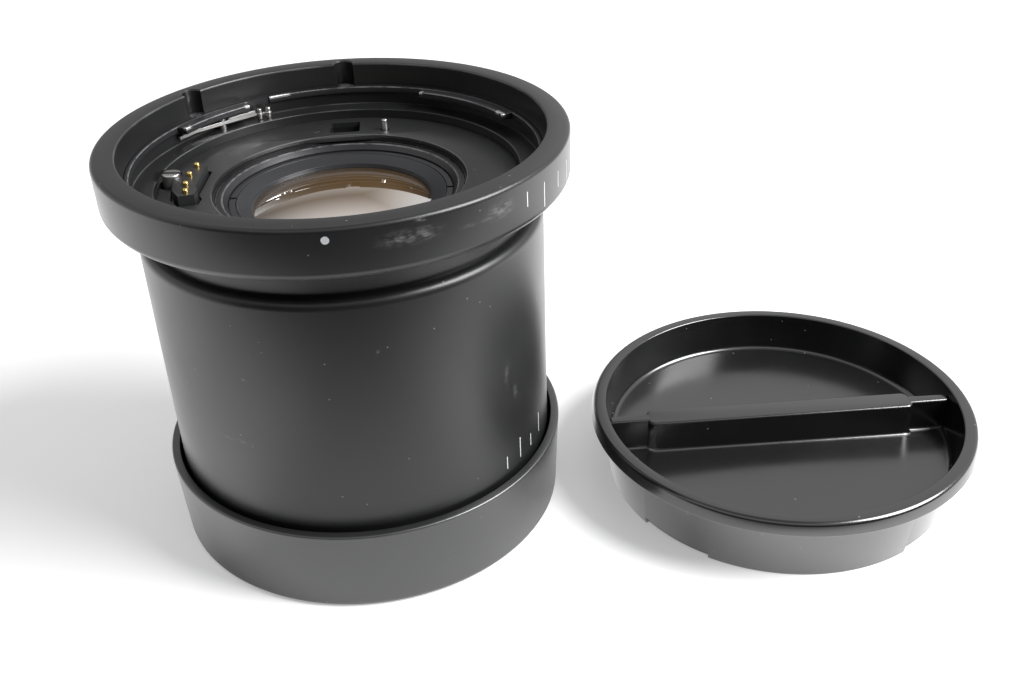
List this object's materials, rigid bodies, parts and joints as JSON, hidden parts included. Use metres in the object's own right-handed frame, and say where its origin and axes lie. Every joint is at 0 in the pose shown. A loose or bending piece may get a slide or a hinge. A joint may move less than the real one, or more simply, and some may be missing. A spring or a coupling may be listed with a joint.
{
  "type": "camera teleconverter",
  "caption": "Tube-shaped camera teleconverter with a female lens mount in front, standing in its cup-shaped rear cap, with its dish-shaped front cap beside it.",
  "frame": {"origin": "on the optical axis, at the underside of the rear cap, where the object stands", "axes": "+Z along the optical axis towards the lens side; +X towards the front cap that lies beside it; -Y towards the index dot"},
  "size_m": [0.1812, 0.1025, 0.086],
  "materials": {
    "collar": "black anodised, satin, worn in places",
    "barrel": "black anodised, satin",
    "bayonet": "blackened ring, worn bright at the edges",
    "plate": "matt black",
    "screw": "blackened screw heads",
    "block": "moulded, matt",
    "board": "circuit board",
    "gilt": "gilt, polished",
    "spring": "spring wire",
    "flex": "amber film",
    "bright": "turned, bright",
    "brass": "plain turned brass",
    "cell": "black anodised, fine turned",
    "ring": "grey anodised, fine turned",
    "bezel": "blue grey satin",
    "glass": "coated, amber reflection",
    "inner_glass": "coated, faint green",
    "rear_mount": "bright plated, fine turned",
    "baffle": "dull black",
    "cup": "moulded, satin",
    "dish": "moulded, semi-gloss"
  },
  "bodies": {
    "converter": {"front_collar": "collar", "front_bayonet": "bayonet", "bayonet_screws": "screw", "mount_plate": "plate", "plate_screws": "screw", "contact_block": "block", "contact_board": "board", "contact_flex": "flex", "rear_contacts": "block", "contact_pads": "gilt", "shaft_bush": "brass", "rod_spring": "spring", "lever_pivot": "bright", "barrel_shell": "barrel", "front_cell": "cell", "front_retainer": "ring", "front_bezel": "bezel", "cell_nut": "brass", "front_lens": "glass", "front_spacer": "cell", "doublet_crown": "inner_glass", "doublet_flint": "inner_glass", "rear_cell": "cell", "relay_lens": "inner_glass", "rear_spacer": "cell", "rear_lens": "glass", "rear_retainer": "cell", "rear_bayonet": "rear_mount", "rear_screws": "bright", "rear_baffle": "baffle", "pin_spring_1": "spring", "pin_spring_2": "spring", "pin_spring_3": "spring", "pin_spring_4": "spring"},
    "rear_cap": {"rear_cap": "cup"},
    "front_cap": {"front_cap": "dish"},
    "lock_lever": {"lock_lever": "bright", "lever_rollers": "bright"},
    "release_button": {"release_button": "collar"},
    "drive_shaft": {"drive_shaft": "bright"},
    "push_rod": {"push_rod": "bright"},
    "contact_pin_1": {"contact_pin_1": "gilt"},
    "contact_pin_2": {"contact_pin_2": "gilt"},
    "contact_pin_3": {"contact_pin_3": "gilt"},
    "contact_pin_4": {"contact_pin_4": "gilt"}
  },
  "joints": [
    {"name": "rear_cap_twist", "type": "hinge", "parent": "converter", "child": "rear_cap", "pos_m": [0, 0, 0.01], "axis": [0, 0, 1], "range_deg": [0, 45]},
    {"name": "front_cap_lift", "type": "slide", "parent": "converter", "child": "front_cap", "axis": [0, 0, 1], "range_m": [0, 0.05]},
    {"name": "button_press", "type": "slide", "parent": "converter", "child": "release_button", "axis": [0.8192, -0.5736, 0], "range_m": [0, 0.0007], "stiffness_N_per_m": 300},
    {"name": "lever_swing", "type": "hinge", "parent": "converter", "child": "lock_lever", "pos_m": [-0.02401, 0.03073, 0.0785], "axis": [0, 0, 1], "range_deg": [0, 4.2]},
    {"name": "shaft_turn", "type": "hinge", "parent": "converter", "child": "drive_shaft", "pos_m": [-0.03314, 0.00614, 0.05], "axis": [0, 0, 1], "range_deg": [0, 330]},
    {"name": "rod_push", "type": "slide", "parent": "converter", "child": "push_rod", "axis": [0, 0, 1], "range_m": [0, 0.0015], "stiffness_N_per_m": 150, "deforming": ["rod_spring"]},
    {"name": "pin_1_press", "type": "slide", "parent": "converter", "child": "contact_pin_1", "axis": [0, 0, -1], "range_m": [0, 0.0008], "stiffness_N_per_m": 150, "deforming": ["pin_spring_1"]},
    {"name": "pin_2_press", "type": "slide", "parent": "converter", "child": "contact_pin_2", "axis": [0, 0, -1], "range_m": [0, 0.0008], "stiffness_N_per_m": 150, "deforming": ["pin_spring_2"]},
    {"name": "pin_3_press", "type": "slide", "parent": "converter", "child": "contact_pin_3", "axis": [0, 0, -1], "range_m": [0, 0.0008], "stiffness_N_per_m": 150, "deforming": ["pin_spring_3"]},
    {"name": "pin_4_press", "type": "slide", "parent": "converter", "child": "contact_pin_4", "axis": [0, 0, -1], "range_m": [0, 0.0008], "stiffness_N_per_m": 150, "deforming": ["pin_spring_4"]}
  ],
  "couplings": [
    {"joint": "lever_swing", "follows": "button_press", "rad_per_m": 85}
  ]
}
